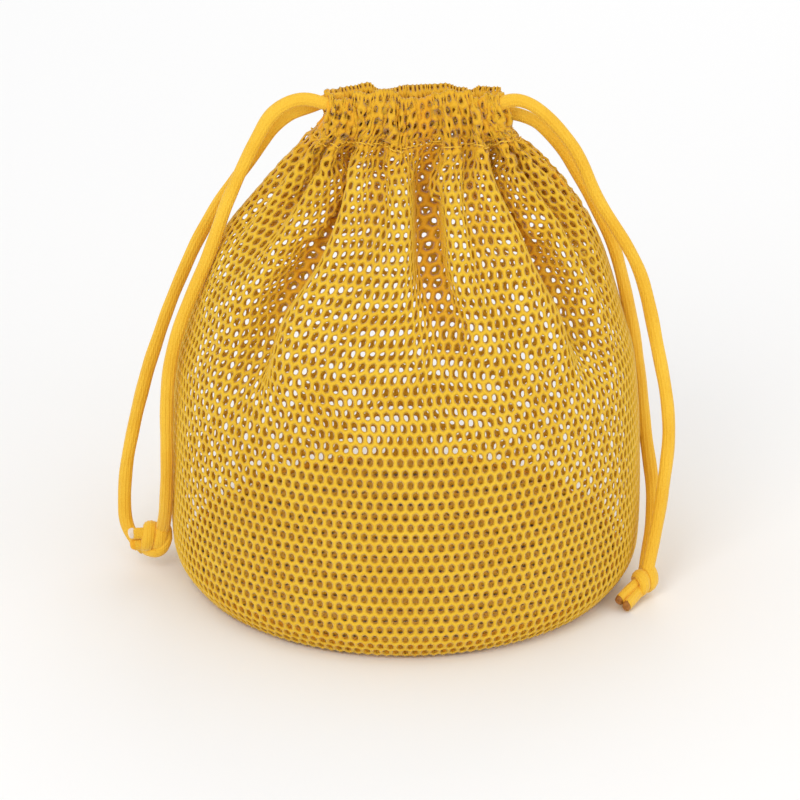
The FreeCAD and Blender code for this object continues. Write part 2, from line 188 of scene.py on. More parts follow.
def seeded():
    """The first form of the cloth: its outline at each level, folded until it is long enough."""
    M = 3200
    t = np.arange(M) / M
    zz = np.linspace(1.5, 207, 2000)
    aa, bb, _ = profile(zz)
    arc = np.concatenate([[0], np.cumsum(np.hypot(np.diff(zz), np.diff((aa + bb) / 2)))])
    rows = np.interp(np.linspace(0, arc[-1], NV), arc, zz)
    X = np.zeros((NV, NU, 3))
    W = np.zeros((NV, NU))
    ruffle = 2 * np.pi * 33 * t + 2.6 * np.sin(2 * np.pi * 3 * t + .7) + 1.6 * np.sin(2 * np.pi * 7 * t + 2.1)
    for j, z in enumerate(rows):
        bx, by = outline(t, z)
        tx, ty = np.roll(bx, -1) - np.roll(bx, 1), np.roll(by, -1) - np.roll(by, 1)
        ln = np.hypot(tx, ty) + 1e-9
        nx, ny = ty / ln, -tx / ln
        a, b, c = profile(z)
        if (nx * (bx - c) + ny * by).mean() < 0:
            nx, ny = -nx, -ny
        V = valley(t, z)
        F = .5 - .5 * np.cos(ruffle)
        fine = 4.2 * smooth(172, 196, z)
        deep = min(26., max(b - 6.5, 4.))
        goal = PERI * narrowing(z)

        def pts(A):
            d = A * V + fine * F * (1 - .35 * V)
            d = np.minimum(d, deep + .15 * (d - deep))
            return bx - nx * d, by - ny * d
        lo, hi = 0., 46. * float(smooth(60, 125, z))
        for _ in range(24):
            A = (lo + hi) / 2
            x, y = pts(A)
            if np.hypot(np.diff(x, append=x[0]), np.diff(y, append=y[0])).sum() < goal:
                lo = A
            else:
                hi = A
        x, y = pts(lo)
        gap = 0.030 * float(smooth(187, 195, z))        # the slits open above the side seams
        for half in (0, 1):
            sel = np.arange(int(M * (half * .5 + gap)), int(M * (half * .5 + .5 - gap)) + 1) % M
            hx, hy = x[sel], y[sel]
            cum = np.concatenate([[0], np.cumsum(np.hypot(np.diff(hx), np.diff(hy)))])
            q = np.arange(NU // 2) / (NU // 2 - (1 if gap > 0.02 else 0)) * cum[-1]
            cols = slice(half * NU // 2, (half + 1) * NU // 2)
            X[j, cols, 0] = np.interp(q, cum, hx)
            X[j, cols, 1] = np.interp(q, cum, hy)
            W[j, cols] = np.interp(q, cum, V[sel])
            ridge = 1 - W[j, cols]
            tq = q / cum[-1] * .5 + half * .5
            sway = (1.3 * np.sin(2 * np.pi * 7 * tq + 1.3) + 1.0 * np.sin(2 * np.pi * 13 * tq + .4)
                    + .7 * np.sin(2 * np.pi * 27 * tq + 2)) * .75 * float(smooth(150, 200, z))
            X[j, cols, 2] = z + sway + (2.0 * ridge - 1.3 + (.2 - 1.5 * half) - 2.4 * smooth(20, 40, np.abs(np.interp(q, cum, hx) - 3))) * smooth(192, 207, z)
    return X, W


def drape(X, rounds):
    """Relaxes the cloth: threads keep their length, folds bend softly, the bag presses outward."""
    du, dv = PERI / NU, TALL / (NV - 1)
    dd = math.hypot(du, dv)
    pin = np.zeros((NV, NU, 1))
    pin[0] = 1
    free = 1 - pin
    top = X[-1].copy()
    slit = np.arange(NV) * dv > TALL - 18
    cross = np.ones((NV, NU, 1))
    cross[slit, NU // 2 - 1] = 0
    cross[slit, NU - 1] = 0
    front = (np.arange(NU) < NU // 2)[None, :]

    def pull(A, B, rest, k_long, k_short, wa, wb, keep=None, floor=0.0):
        d = B - A
        L = np.sqrt((d * d).sum(-1, keepdims=True)) + 1e-9
        e = L - rest
        k = np.where(e > 0, k_long, np.where(L < rest * floor, .5, k_short))
        s = np.where((e < 0) & (L < rest * floor), L - rest * floor, e) * k / L
        if keep is not None:
            s = s * keep
        w = wa + wb + 1e-9
        return d * s * (wa / w), -d * s * (wb / w)

    zmax = 1.0
    for it in range(rounds):
        soft = 1.0 - it / rounds
        # outward press
        tu = np.roll(X, -1, 1) - np.roll(X, 1, 1)
        tv = np.zeros_like(X)
        tv[1:-1] = X[2:] - X[:-2]
        tv[0], tv[-1] = X[1] - X[0], X[-1] - X[-2]
        nrm = np.cross(tu, tv)
        nrm /= np.sqrt((nrm * nrm).sum(-1, keepdims=True)) + 1e-9
        X = X + nrm * free * 0.004 * (1 - smooth(168, 190, X[..., 2:3]))
        # threads round the bag
        for par in (0, 1):
            A, B = X[:, par::2], np.roll(X, -1, 1)[:, par::2]
            wa, wb = free[:, par::2], np.roll(free, -1, 1)[:, par::2]
            a, b = pull(A, B, du, .5, .3, wa, wb, cross[:, par::2], .88)
            X[:, par::2] += a
            Y = np.roll(X, -1, 1)
            Y[:, par::2] += b
            X = np.roll(Y, 1, 1)
        # threads up the bag
        for par in (0, 1):
            n = (NV - par) // 2
            A, B = X[par:par + 2 * n:2], X[par + 1:par + 1 + 2 * n:2]
            m = min(len(A), len(B))
            a, b = pull(A[:m], B[:m], dv, .5, .25, free[par:par + 2 * n:2][:m], free[par + 1:par + 1 + 2 * n:2][:m], None, .9)
            X[par:par + 2 * m:2] += a
            X[par + 1:par + 1 + 2 * m:2] += b
        # bias
        for par in (0, 1):
            m = (NV - par) // 2
            for sh in (1, -1):
                lo, hi = X[par:par + 2 * m:2], X[par + 1:par + 1 + 2 * m:2]
                Bs = np.roll(hi, -sh, 1)
                a, b = pull(lo, Bs, dd, .12, .04, free[par:par + 2 * m:2], free[par + 1:par + 1 + 2 * m:2])
                X[par:par + 2 * m:2] += a
                X[par + 1:par + 1 + 2 * m:2] += np.roll(b, sh, 1)
        # bending, as a pull towards the mean of the neighbours
        kb = 0.02 + 0.06 * soft
        lap = (np.roll(X, 1, 1) + np.roll(X, -1, 1)) / 2 - X
        edge = cross * np.roll(cross, 1, 1)
        X = X + lap * kb * free * edge
        lap = np.zeros_like(X)
        lap[1:-1] = (X[2:] + X[:-2]) / 2 - X[1:-1]
        X = X + lap * (kb * 1.2) * free
        # inside the outline of the bag, and clear of the middle plane and the cords
        z = X[..., 2]
        if it % 4 == 0 or it > rounds - 6:
            a, b, c = profile(np.clip(z, 1.5, 207))
            n = roundness(z)
            f = (np.abs(X[..., 0] - c) / a) ** n + (np.abs(X[..., 1]) / b) ** n
            s = np.where(f > 1, f ** (-1 / n), 1)
            X[..., 0] = c + (X[..., 0] - c) * s
            X[..., 1] *= s
            least = 1.0 + 6.4 * smooth(176, 192, z) * (1 - .75 * smooth(203.5, 208, z))
            inner = (X[..., 0] - c) ** 2 < (a - 6) ** 2
            X[..., 1] = np.where(inner & front & (X[..., 1] > -least), -least, X[..., 1])
            X[..., 1] = np.where(inner & ~front & (X[..., 1] < least), least, X[..., 1])
            X[..., 2] = np.clip(z, 1.5, 211)
        X[-1, :, 2] = .5 * X[-1, :, 2] + .5 * top[:, 2]
    return X


def settled(X, W):
    """The folds sink in a little further than the threads alone pull them; the casing puckers."""
    t = np.stack([np.roll(X, -2, 1) - np.roll(X, 2, 1)] * 1)[0]
    n = np.stack([t[..., 1], -t[..., 0]], -1)
    n /= np.sqrt((n * n).sum(-1, keepdims=True)) + 1e-9
    c = profile(X[..., 2])[2]
    out = np.sign(n[..., 0] * (X[..., 0] - c) + n[..., 1] * X[..., 1])[..., None]
    n = n * out
    z = X[..., 2]
    sunk = 3.6 * np.clip(W, 0, 1) ** 1.2 * smooth(104, 150, z) * (1 - smooth(170, 186, z))
    i, j = np.meshgrid(np.arange(NU) * PERI / NU, np.arange(NV) * TALL / (NV - 1))
    k = 2 * np.pi / PERI
    puck = (np.sin(61 * k * i + 2.1 * np.sin(j / 7.0)) + .7 * np.sin(97 * k * i + 1.6 * np.sin(j / 4.6 + 1))
            + .8 * np.sin(j / 2.6 + 1.5 * np.sin(23 * k * i)))
    slit = np.minimum(np.abs((i + PERI / 4) % (PERI / 2) - PERI / 4), 12) / 12
    puck = 1.1 * np.clip(puck, 0, 2) * smooth(168, 190, z) * slit * (1 - .5 * smooth(202, 208, z))
    X = X.copy()
    X[..., :2] += n * (puck - sunk)[..., None]
    return X


SEEDED, FOLD = seeded()
CLOTH = settled(drape(SEEDED, 40), FOLD)


# ------------------------------------------------------------------ materials
def fabric(name, low, high, fine, depth, rough=.62, sheen=.25, ribs=None, deep=None):
    """A yarn finish: two tones mixed by noise, a fine fibre bump and a soft sheen; where deep is given, that colour is
    mixed in as painted shade by a per-vertex attribute.
    """
    m = bpy.data.materials.new(name)
    m.use_nodes = True
    nt = m.node_tree
    n, link = nt.nodes, nt.links
    bsdf = n["Principled BSDF"]
    co = n.new("ShaderNodeTexCoord")
    broad = n.new("ShaderNodeTexNoise")
    broad.inputs["Scale"].default_value = 55
    broad.inputs["Detail"].default_value = 3
    small = n.new("ShaderNodeTexNoise")
    small.inputs["Scale"].default_value = fine
    small.inputs["Detail"].default_value = 2
    add = n.new("ShaderNodeMath")
    add.operation = "ADD"
    half = n.new("ShaderNodeMath")
    half.operation = "MULTIPLY"
    half.inputs[1].default_value = .5
    ramp = n.new("ShaderNodeValToRGB")
    ramp.color_ramp.elements[0].position, ramp.color_ramp.elements[1].position = .34, .66
    ramp.color_ramp.elements[0].color = (*low, 1)
    ramp.color_ramp.elements[1].color = (*high, 1)
    link.new(co.outputs["Object"], broad.inputs["Vector"])
    link.new(co.outputs["Object"], small.inputs["Vector"])
    link.new(broad.outputs["Fac"], add.inputs[0])
    link.new(small.outputs["Fac"], add.inputs[1])
    link.new(add.outputs[0], half.inputs[0])
    link.new(half.outputs[0], ramp.inputs["Fac"])
    if deep:                                    # painted shade: a per-vertex attribute turns the base colour deeper orange in folds, over the casing, on the back faces and at the hole rims, standing in for shade and light bounced between layers
        painted_shade_attr = n.new("ShaderNodeAttribute")
        painted_shade_attr.attribute_name = "painted_fold_shade"
        mix = n.new("ShaderNodeMix")
        mix.data_type = "RGBA"
        mix.inputs[7].default_value = (*deep, 1)
        link.new(painted_shade_attr.outputs["Fac"], mix.inputs[0])
        link.new(ramp.outputs["Color"], mix.inputs[6])
        link.new(mix.outputs[2], bsdf.inputs["Base Color"])
    else:
        link.new(ramp.outputs["Color"], bsdf.inputs["Base Color"])
    height = small.outputs["Fac"]
    if ribs:
        wave = n.new("ShaderNodeTexWave")
        wave.inputs["Scale"].default_value = ribs
        wave.inputs["Distortion"].default_value = 2.5
        wave.inputs["Detail Scale"].default_value = 3
        link.new(co.outputs["Object"], wave.inputs["Vector"])
        both = n.new("ShaderNodeMath")
        both.operation = "ADD"
        link.new(wave.outputs["Fac"], both.inputs[0])
        link.new(small.outputs["Fac"], both.inputs[1])
        height = both.outputs[0]
    bump = n.new("ShaderNodeBump")
    bump.inputs["Strength"].default_value = .55
    bump.inputs["Distance"].default_value = depth
    link.new(height, bump.inputs["Height"])
    link.new(bump.outputs["Normal"], bsdf.inputs["Normal"])
    bsdf.inputs["Roughness"].default_value = rough
    bsdf.inputs["Sheen Weight"].default_value = sheen
    bsdf.inputs["Sheen Roughness"].default_value = .4
    bsdf.inputs["Specular IOR Level"].default_value = .25
    return m


# painted shade: the deep colour of the mesh yarn is the darker orange laid into folds, the gathered casing, the back
# faces and the hole rims
MESH = fabric("mesh yarn", (.78, .455, .015), (.86, .555, .035), 1500, .00018, deep=(.80, .32, .005))
SEAM = fabric("seam cloth", (.82, .37, .012), (.93, .49, .022), 1300, .0002)
THREAD = fabric("sewing thread", (.84, .49, .03), (.94, .60, .06), 2600, .0001, rough=.45)
CORD = fabric("cord braid", (.86, .46, .020), (.97, .60, .048), 1900, .00018, rough=.55, sheen=.35, ribs=420)
TIP_PALE = fabric("melted end, pale", (.70, .58, .44), (.90, .82, .76), 700, .0002, rough=.35, sheen=0)
TIP_BROWN = fabric("melted end, brown", (.22, .075, .012), (.50, .20, .035), 700, .0002, rough=.35, sheen=0)


# ------------------------------------------------------------------ the cloth as a surface
DV = TALL / (NV - 1)
LEFT_U, RIGHT_U = PERI * (NU - .5) / NU, PERI * (NU / 2 - .5) / NU      # the two side slits
TURNED = 10                                                       # rows of the casing's inner layer


def turned_in(C):
    """Rows past the top edge: the casing is the same cloth folded in and sewn down."""
    side = np.where(np.arange(NU) < NU // 2, -1., 1.)
    rows = []
    for k in range(1, TURNED + 1):
        w = k * DV
        row = C[NV - 1 - k].copy()
        s = float(smooth(0, 4.2, w) * (1 - smooth(15.5, 23, w)))
        y = np.abs(row[:, 1])
        inner = np.minimum(np.maximum(y - .8, .5), .8 + .2 * y)
        row[:, 1] = side * (y * (1 - s) + inner * s - .8 * (1 - s) * smooth(2, 6, w))
        row[:, 0] = 3 + (row[:, 0] - 3) * (1 - .03 * s)
        rows.append(row)
    return np.concatenate([C, np.array(rows)])


def between(P0, P1, P2, P3, t):
    return .5 * (2 * P1 + (P2 - P0) * t + (2 * P0 - 5 * P1 + 4 * P2 - P3) * t * t + (3 * P1 - P0 - 3 * P2 + P3) * t ** 3)


def refined(G, k):
    """A k times finer grid through the same points, round in u."""
    g = np.stack([between(np.roll(G, 1, 1), G, np.roll(G, -1, 1), np.roll(G, -2, 1), s / k) for s in range(k)], 2)
    g = g.reshape(G.shape[0], -1, 3)
    pad = np.concatenate([2 * g[:1] - g[1:2], g, 2 * g[-1:] - g[-2:-1]])
    n = len(g)
    f = np.stack([between(pad[:n - 1], pad[1:n], pad[2:n + 1], pad[3:n + 2], s / k) for s in range(k)], 1)
    return np.concatenate([f.reshape((n - 1) * k, -1, 3), g[-1:]])


FINE = 3
WHOLE = turned_in(CLOTH)
for _ in range(3):                                                # the fold at the very top is a soft roll
    part = WHOLE[NV - 2:NV + 2]
    WHOLE[NV - 2:NV + 2] = .5 * part + .25 * (np.roll(part, 1, 1) + np.roll(part, -1, 1))
GRID = refined(WHOLE, FINE)
# fold depth, which also narrows the holes, and painted shade: it tints the yarn deeper orange in the folds and, at
# least .34, over the gathered casing
_depth_and_shade = np.concatenate([FOLD, FOLD[NV - 1 - TURNED:NV - 1][::-1]])
_depth_and_shade = np.clip(_depth_and_shade, 0, 1) ** 1.3 * smooth(98, 150, WHOLE[..., 2]) * .62
_depth_and_shade = np.maximum(_depth_and_shade, .34 * smooth(168, 190, WHOLE[..., 2]))
DEPTH_AND_PAINTED_SHADE = refined(np.repeat(_depth_and_shade[..., None], 3, -1), FINE)[..., :1]
_u = np.roll(GRID, -1, 1) - np.roll(GRID, 1, 1)
_v = np.gradient(GRID, axis=0)
NORMAL = np.cross(_u, _v)
for _ in range(2):
    NORMAL = NORMAL / (np.sqrt((NORMAL ** 2).sum(-1, keepdims=True)) + 1e-9)
    NORMAL = .5 * NORMAL + .25 * (np.roll(NORMAL, 1, 1) + np.roll(NORMAL, -1, 1))
NORMAL = NORMAL / (np.sqrt((NORMAL ** 2).sum(-1, keepdims=True)) + 1e-9)


def at(F, u, v):
    """F on the cloth at u, v in millimetres."""
    gu, gv = np.asarray(u, float) / PERI * NU * FINE, np.clip(np.asarray(v, float) / DV * FINE, 0, len(F) - 1.001)
    i, j = np.floor(gu).astype(int), np.floor(gv).astype(int)
    a, b = (gu - i)[..., None], (gv - j)[..., None]
    n = F.shape[1]
    i0, i1 = i % n, (i + 1) % n
    return (F[j, i0] * (1 - a) + F[j, i1] * a) * (1 - b) + (F[j + 1, i0] * (1 - a) + F[j + 1, i1] * a) * b


def on_cloth(u, v, h):
    return at(GRID, u, v) + at(NORMAL, u, v) * np.asarray(h, float)[..., None]


def on_bottom(u, v, h):
    r = np.hypot(u, v)
    z = 1.5 + .35 * np.sin(u * .11 + 1) * np.cos(v * .09) * smooth(86, 60, r) + 5.0 * smooth(42, 88, r)
    return np.stack([u, v, z + h], -1)


# ------------------------------------------------------------------ the honeycomb net
CELLS, ROW = 148, 4.45
PITCH = PERI / CELLS
HOLE = (1.13, 1.57)
RIM = np.array([(0, 4), (1, 3), (2, 2), (2, 0), (2, -2), (1, -3), (0, -4), (-1, -3), (-2, -2), (-2, 0), (-2, 2), (-1, 3)])
RIM_H = np.array([.56, .50] * 6)
_x, _y = RIM[:, 0] * PITCH / 4, RIM[:, 1] * ROW / 6
_k = ((np.abs(_x) / HOLE[0]) ** 2.3 + (np.abs(_y) / HOLE[1]) ** 2.3) ** (-1 / 2.3)
RING = np.stack([_x * _k, _y * _k], 1)


def net(name, cells, place, round_u=False, rise=1.0, drawn=False, tight=1.0):
    """Knitted honeycomb: each cell is a ring of yarn, thickest where three rings meet."""
    cells = np.asarray(cells)
    n = len(cells)
    ku, kv = cells[:, :1] + RIM[:, 0], cells[:, 1:] + RIM[:, 1]
    if round_u:
        ku = ku % (4 * CELLS)
    key = (kv + 4096) * 16384 + ku + 4096
    keys, inv = np.unique(key.ravel(), return_inverse=True)
    inv = inv.reshape(n, 12)
    h = np.zeros(len(keys))
    h[inv] = RIM_H[None, :] * rise
    u, v = (keys % 16384 - 4096) * PITCH / 4, (keys // 16384 - 4096) * ROW / 6
    front, back = place(u, v, h), place(u, v, -h)
    closing = (1 - .12 * smooth(140, 195, cells[:, 1:] * ROW / 6) - .18 * smooth(196, 214, cells[:, 1:] * ROW / 6)
               - .14 * at(DEPTH_AND_PAINTED_SHADE, cells[:, 0] * PITCH / 4, cells[:, 1] * ROW / 6)) if drawn else tight
    ru = cells[:, :1] * PITCH / 4 + RING[:, 0] * closing
    rv = cells[:, 1:] * ROW / 6 + RING[:, 1] * closing
    ring = place(ru.ravel(), rv.ravel(), np.zeros(n * 12))
    nb = len(keys)
    F, B, R = inv, inv + nb, 2 * nb + np.arange(n * 12).reshape(n, 12)
    F2, B2, R2 = np.roll(F, -1, 1), np.roll(B, -1, 1), np.roll(R, -1, 1)
    quads = [np.stack([F, R, R2, F2], -1).reshape(-1, 4), np.stack([B, B2, R2, R], -1).reshape(-1, 4)]
    pair = np.minimum(F, F2).astype(np.int64) * 10 ** 7 + np.maximum(F, F2)
    _, where, count = np.unique(pair.ravel(), return_inverse=True, return_counts=True)
    alone = (count[where.reshape(-1)] == 1)
    f, f2 = F.ravel()[alone], F2.ravel()[alone]
    quads.append(np.stack([f, f2, f2 + nb, f + nb], -1))
    ob = mesh_from(name, np.concatenate([front, back, ring]) * MM, np.concatenate(quads), MESH)
    # painted shade: the tint attribute; on the wall nets it follows fold depth, at least .15 on the back faces and .1
    # at the hole rims; on the bottom net it is fixed, .12 on the top face, .3 on the underside and .2 at the hole rims
    if drawn:
        near_shade, rim_shade = at(DEPTH_AND_PAINTED_SHADE, u, v)[:, 0], at(DEPTH_AND_PAINTED_SHADE, ru.ravel(), rv.ravel())[:, 0]
        value = np.concatenate([near_shade, np.maximum(near_shade, .15), np.maximum(rim_shade, .1)])
    else:
        value = np.concatenate([np.full(nb, .12), np.full(nb, .3), np.full(n * 12, .2)])
    ob.data.attributes.new("painted_fold_shade", "FLOAT", "POINT").data.foreach_set("value", np.clip(value, 0, 1).astype(np.float32))
    return ob


ROWS_WALL = 47                       # rows of the wall below the casing
ROWS_ALL = 56                        # and with the casing, outer and inner layers
front_cells, rear_cells, case_front, case_rear = [], [], [], []
for r in range(ROWS_ALL):
    for i in range(CELLS):
        cu = 4 * i + 2 * (r % 2)
        cv = 6 * r + 4
        u, v = cu * PITCH / 4 % PERI, cv * ROW / 6
        off_l = abs((u - LEFT_U + PERI / 2) % PERI - PERI / 2)
        off_r = abs(u - RIGHT_U)
        if v > TALL - 18 and v < TALL + 18 and min(off_l, off_r) < 2.4:
            continue
        is_front = (u - LEFT_U) % PERI < (RIGHT_U - LEFT_U) % PERI
        if r < ROWS_WALL:
            (front_cells if is_front else rear_cells).append((cu, cv))
        else:
            (case_front if is_front else case_rear).append((cu, cv))
front_net = net("front_net", front_cells, on_cloth, True, 1.0, True)
rear_net = net("rear_net", rear_cells, on_cloth, True, 1.0, True)
front_case = net("front_casing_net", case_front, on_cloth, True, 1.0, True)
rear_case = net("rear_casing_net", case_rear, on_cloth, True, 1.0, True)
disc = []
for r in range(-20, 21):
    for i in range(-24, 25):
        cu, cv = 4 * i + 2 * (r % 2), 6 * r
        if math.hypot(cu * PITCH / 4, cv * ROW / 6) < 85.6:
            disc.append((cu, cv))
bottom_net = net("bottom_net", disc, on_bottom, tight=.52)


# ------------------------------------------------------------------ swept pieces
def unit(a):
    return a / (np.sqrt((a * a).sum(-1, keepdims=True)) + 1e-12)


def sweep(P, W, section, closed=False):
    """Rings of section, (n, m, 2) or (m, 2) in the W and N directions, along P; returns vertices and faces."""
    P = np.asarray(P, float)
    n = len(P)
    T = np.roll(P, -1, 0) - np.roll(P, 1, 0) if closed else np.gradient(P, axis=0)
    T = unit(T)
    W = np.broadcast_to(np.asarray(W, float), P.shape)
    W = unit(W - T * (W * T).sum(-1, keepdims=True))
    N = np.cross(T, W)
    S = np.asarray(section, float)
    if S.ndim == 2:
        S = np.broadcast_to(S, (n, *S.shape))
    m = S.shape[1]
    V = P[:, None] + W[:, None] * S[..., :1] + N[:, None] * S[..., 1:]
    rings = n if closed else n - 1
    i, j = np.meshgrid(np.arange(rings), np.arange(m), indexing="ij")
    i2, j2 = (i + 1) % n, (j + 1) % m
    faces = np.stack([i * m + j, i * m + j2, i2 * m + j2, i2 * m + j], -1).reshape(-1, 4)
    V = V.reshape(-1, 3)
    if not closed:
        V = np.concatenate([V, P[:1], P[-1:]])
        a = np.arange(m)
        b = (a + 1) % m
        last = (n - 1) * m
        c0, c1 = np.full(m, n * m), np.full(m, n * m + 1)
        tris = [(int(c0[k]), int(b[k]), int(a[k])) for k in range(m)] + [(int(c1[k]), int(last + a[k]), int(last + b[k])) for k in range(m)]
        return V, [tuple(f) for f in faces.tolist()] + tris
    return V, [tuple(f) for f in faces.tolist()]


def joined(parts):
    verts, faces, k = [], [], 0
    for V, F in parts:
        verts.append(V)
        faces += [tuple(x + k for x in f) for f in F]
        k += len(V)
    return np.concatenate(verts), faces


def oval(w, t, m=24, ribs=0, amount=0.0, power=2.0):
    a = 2 * np.pi * np.arange(m) / m
    c, s = np.cos(a), np.sin(a)
    e = 2 / power
    k = 1 + (amount * np.cos(ribs * a) if ribs else 0)
    return np.stack([w / 2 * np.sign(c) * np.abs(c) ** e * k, t / 2 * np.sign(s) * np.abs(s) ** e * k], -1)


def spaced(P, step):
    P = np.asarray(P, float)
    d = np.concatenate([[0], np.cumsum(np.sqrt((np.diff(P, axis=0) ** 2).sum(-1)))])
    n = max(3, int(round(d[-1] / step)) + 1)
    q = np.linspace(0, d[-1], n)
    return np.stack([np.interp(q, d, P[:, k]) for k in range(3)], -1), d[-1]


def routed(points, step=1.1):
    """Points along an open NURBS spline over the route, evenly spaced."""
    cu = bpy.data.curves.new("route", "CURVE")
    cu.dimensions = "3D"
    sp = cu.splines.new("NURBS")
    sp.points.add(len(points) - 1)
    for p, q in zip(sp.points, points):
        p.co = (*q, 1)
    sp.order_u = 3
    sp.use_endpoint_u = True
    sp.resolution_u = 14
    ob = bpy.data.objects.new("route", cu)
    me = bpy.data.meshes.new_from_object(ob)
    P = np.array([v.co for v in me.vertices], float)
    bpy.data.objects.remove(ob)
    bpy.data.curves.remove(cu)
    bpy.data.meshes.remove(me)
    return spaced(P, step)


# ------------------------------------------------------------------ seams and stitching
wall_pieces, thread_parts = [], []
# round the bottom: the overlocked allowance stands up inside the wall
a = 2 * np.pi * np.arange(360) / 360
rr = 86.0 + .35 * np.sin(9 * a + 1) + .25 * np.sin(23 * a)
zz = 4.1 + .35 * np.sin(6 * a + 2) + .2 * np.sin(17 * a)
P = np.stack([rr * np.cos(a), rr * np.sin(a), zz], -1)
lean = np.stack([.16 * np.cos(a), .16 * np.sin(a), np.ones_like(a)], -1)
bottom_band = mesh_from("bottom_seam_band", *[x if k else x * MM for k, x in enumerate(sweep(P, lean, oval(6.6, 1.5, 16, power=3.2), True))], SEAM)
# overlock thread: a zigzag over the band
q = 2 * np.pi * np.arange(1900) / 1900
zig = np.abs((q * 190 / (2 * np.pi)) % 1 * 2 - 1)
rr = np.interp(q, a, 86.0 + .35 * np.sin(9 * a + 1) + .25 * np.sin(23 * a), period=2 * np.pi)
zz = np.interp(q, a, 4.1 + .35 * np.sin(6 * a + 2) + .2 * np.sin(17 * a), period=2 * np.pi)
for side in (-1, 1):
    P = np.stack([(rr + side * .95 + .16 * (zig - .5) * 5.6) * np.cos(q), (rr + side * .95 + .16 * (zig - .5) * 5.6) * np.sin(q), zz + (zig - .5) * 5.8], -1)
    thread_parts.append(sweep(P, (0, 0, 1), oval(.5, .5, 5), True))


def seam_line(u, v0, v1, inward, width, thick, wave, step=1.6):
    """A band up the inside of the cloth at u, following its folds."""
    n = int((v1 - v0) / step)
    v = np.linspace(v0, v1, n)
    du = .35 * np.sin(v * .35 + wave)
    P = on_cloth(u + du, v, np.full(n, -inward))
    W = on_cloth(u + du + 1.5, v, np.full(n, -inward)) - on_cloth(u + du - 1.5, v, np.full(n, -inward))
    return P, W


bands = {}
for side, u in (("left", LEFT_U), ("right", RIGHT_U)):
    P, W = seam_line(u, 3, TALL - 17, 1.25, 5, 1.2, 1.0 if side == "left" else 2.2)
    V, Fc = sweep(P, W, oval(5.2, 1.3, 14, power=3.0))
    bands[side] = mesh_from(side + "_seam_band", V * MM, Fc, SEAM)
    d = np.arange(0, (TALL - 22) * 2.4)
    v = 4 + d / 2.4 * (TALL - 24) / (TALL - 22)
    zig = np.where(d % 2 < 1, -2.1, 2.1)
    N_ = at(NORMAL, np.full(len(v), u), v)
    P = on_cloth(u + zig, v, np.full(len(v), -2.05))
    thread_parts.append(sweep(P, (0, 1, 0), oval(.45, .45, 5)))

# the casing's line of stitches, inside and out
stitches = []
for half, (u0, u1) in enumerate(((LEFT_U - PERI + 3.2, RIGHT_U - 3.2), (RIGHT_U + 3.2, LEFT_U - 3.2))):
    n = int((u1 - u0) / .75)
    u = np.linspace(u0, u1, n)
    dip = np.abs((np.arange(n) / 4.0) % 1 - .5) * 2
    for side in (1, -1):
        P = on_cloth(u, 207.2 + .15 * np.sin(u * .9), side * (.62 - .5 * smooth(.75, 1, dip)))
        stitches.append((half, sweep(P, (0, 0, 1), oval(.62, .55, 6))))
case_stitch = {}
for half, nm in ((0, "front_casing_stitches"), (1, "rear_casing_stitches")):
    V, Fc = joined([s for h, s in stitches if h == half])
    case_stitch[half] = mesh_from(nm, V * MM, Fc, THREAD)
V, Fc = joined(thread_parts)
overlock = mesh_from("overlock_thread", V * MM, Fc, THREAD)

# the slit hems: the cloth's edge turned and sewn, from the outside over the top to the inside
hems = {}
for side, u in (("left", LEFT_U), ("right", RIGHT_U)):
    parts = []
    for s in (1, -1):
        v = np.linspace(TALL - 19, TALL + 19, 40)
        P = on_cloth(u + s * 2.3, v, np.zeros(40))
        W = on_cloth(u + s * 3.6, v, np.zeros(40)) - on_cloth(u + s * 1.2, v, np.zeros(40))
        parts.append(sweep(P, W, oval(2.6, 1.5, 12, power=2.6)))
    V, Fc = joined(parts)
    hems[side] = mesh_from(side + "_slit_hem", V * MM, Fc, SEAM)

